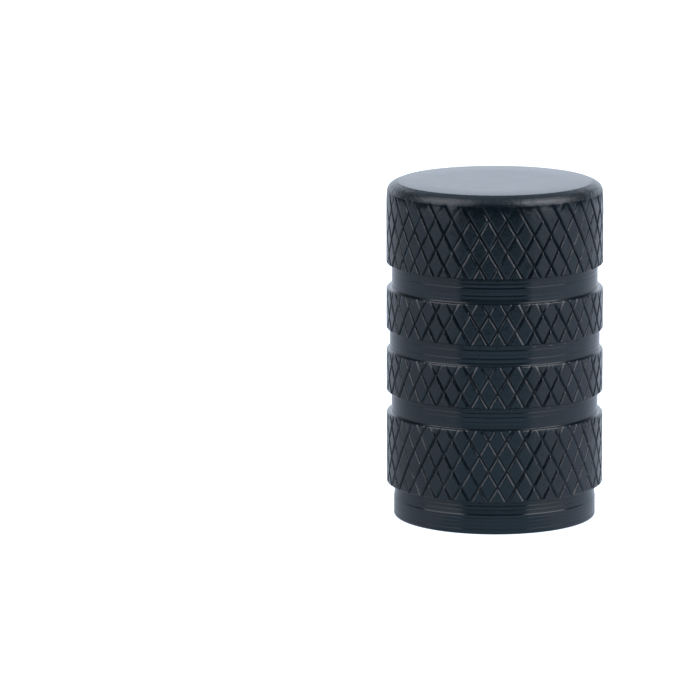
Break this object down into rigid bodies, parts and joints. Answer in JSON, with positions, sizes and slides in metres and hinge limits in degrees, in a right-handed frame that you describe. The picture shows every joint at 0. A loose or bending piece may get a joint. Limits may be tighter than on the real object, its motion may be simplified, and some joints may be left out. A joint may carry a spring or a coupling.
{
  "type": "tyre valve cap",
  "caption": "Knurled round screw cap for a tyre valve, with turned grooves, a bevelled closed top, a threaded blind bore and a sealing ring.",
  "frame": {"origin": "centre of the mouth face, which the cap stands on", "axes": "+Z along the cap's axis from the mouth to the closed top; the knurl pattern is turned about Z as the picture shows it from -Y"},
  "size_m": [0.011, 0.011, 0.0172],
  "materials": {
    "anodised_body": "black anodised, satin on the top face, turned and knurled round the side",
    "seal_rubber": "matt black rubber"
  },
  "bodies": {
    "root": {"cap_body": "anodised_body", "seal_ring": "seal_rubber"}
  },
  "joints": []
}
